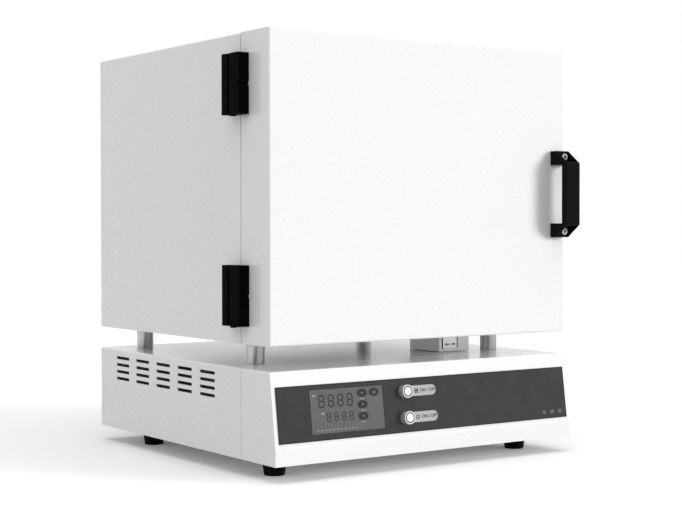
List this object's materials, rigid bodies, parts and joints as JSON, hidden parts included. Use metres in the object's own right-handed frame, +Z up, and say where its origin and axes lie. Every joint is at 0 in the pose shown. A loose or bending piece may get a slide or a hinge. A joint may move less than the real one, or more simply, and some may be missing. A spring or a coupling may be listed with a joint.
{
  "type": "muffle furnace",
  "caption": "Bench-top muffle furnace: insulated box with a side-hinged door and bridge handle, on columns above a base with sloping controls.",
  "frame": {"origin": "on the floor, under the middle of the bounding box", "axes": "+Z up, +X to the right seen from the front, +Y from the door towards the rear"},
  "size_m": [0.532, 0.5526, 0.5915],
  "materials": {
    "coat_white": "satin",
    "zinc_sheet": "satin",
    "stainless": "satin",
    "column_steel": "satin",
    "panel_dark": "satin",
    "window_grey": "gloss",
    "key_blue": "satin",
    "plastic_black": "satin",
    "board_green": "satin",
    "display_block": "gloss",
    "label_metal": "satin",
    "button_steel": "polished",
    "lens_white": "gloss",
    "ring_black": "satin",
    "rubber_black": "matte",
    "screw_steel": "satin",
    "sink_aluminium": "satin",
    "contactor_grey": "satin",
    "hot_board": "matte",
    "backing_board": "matte",
    "seal_fibre": "matte",
    "hearth_ceramic": "matte",
    "rod_alloy": "matte",
    "porcelain": "satin",
    "head_metal": "satin",
    "damper_grey": "satin",
    "slide_metal": "satin",
    "hinge_black": "satin",
    "handle_black": "satin",
    "magnet_grey": "satin"
  },
  "bodies": {
    "root": {"base_floor": "zinc_sheet", "base_cover": "coat_white", "base_rear_panel": "coat_white", "front_bezel": "coat_white", "control_panel": "panel_dark", "controller_housing": "plastic_black", "controller_board": "board_green", "digit_displays": "display_block", "display_window": "window_grey", "touch_keys": "key_blue", "label_plates": "label_metal", "heater_button_housing": "button_steel", "power_button_housing": "button_steel", "button_rings": "ring_black", "button_nuts": "screw_steel", "feet": "rubber_black", "foot_screws": "screw_steel", "columns": "column_steel", "column_screws": "screw_steel", "heat_sink": "sink_aluminium", "solid_state_relay": "plastic_black", "power_contactor": "contactor_grey", "terminal_block": "plastic_black", "cable_gland": "plastic_black", "cover_screws": "screw_steel", "casing_wrap": "coat_white", "casing_floor": "coat_white", "casing_rear": "coat_white", "front_frame": "stainless", "muffle_left": "hot_board", "muffle_right": "hot_board", "muffle_roof": "hot_board", "muffle_floor": "hot_board", "muffle_rear": "hot_board", "backing_left": "backing_board", "backing_right": "backing_board", "backing_top": "backing_board", "backing_bottom": "backing_board", "hearth_plate": "hearth_ceramic", "heater_left": "rod_alloy", "heater_right": "rod_alloy", "heater_terminals": "porcelain", "thermocouple_sheath": "porcelain", "thermocouple_head": "head_metal", "exhaust_tube": "column_steel", "inlet_tube": "porcelain", "damper_box": "damper_grey", "casing_hinge_leaves": "hinge_black", "hinge_pins": "hinge_black", "catch_magnets": "magnet_grey"},
    "door": {"door_shell": "coat_white", "door_inner_panel": "stainless", "door_plug": "hot_board", "door_seal": "seal_fibre", "handle": "handle_black", "handle_screws": "screw_steel", "door_hinge_leaves": "hinge_black"},
    "damper": {"damper_slide": "slide_metal"},
    "heater_button": {"heater_button_cap": "lens_white"},
    "power_button": {"power_button_cap": "lens_white"}
  },
  "joints": [
    {"name": "door_hinge", "type": "hinge", "parent": "root", "child": "door", "pos_m": [-0.261, -0.1685, 0.3845], "axis": [0, 0, 1], "range_deg": [-110, 0]},
    {"name": "damper_slide_travel", "type": "slide", "parent": "root", "child": "damper", "axis": [1, 0, 0], "range_m": [-0.004, 0.014]},
    {"name": "heater_button_press", "type": "slide", "parent": "root", "child": "heater_button", "axis": [0, 0.9903, -0.1386], "range_m": [0, 0.0025], "stiffness_N_per_m": 900, "springref_m": -0.0005},
    {"name": "power_button_press", "type": "slide", "parent": "root", "child": "power_button", "axis": [0, 0.9903, -0.1386], "range_m": [0, 0.0025], "stiffness_N_per_m": 900, "springref_m": -0.0005}
  ]
}
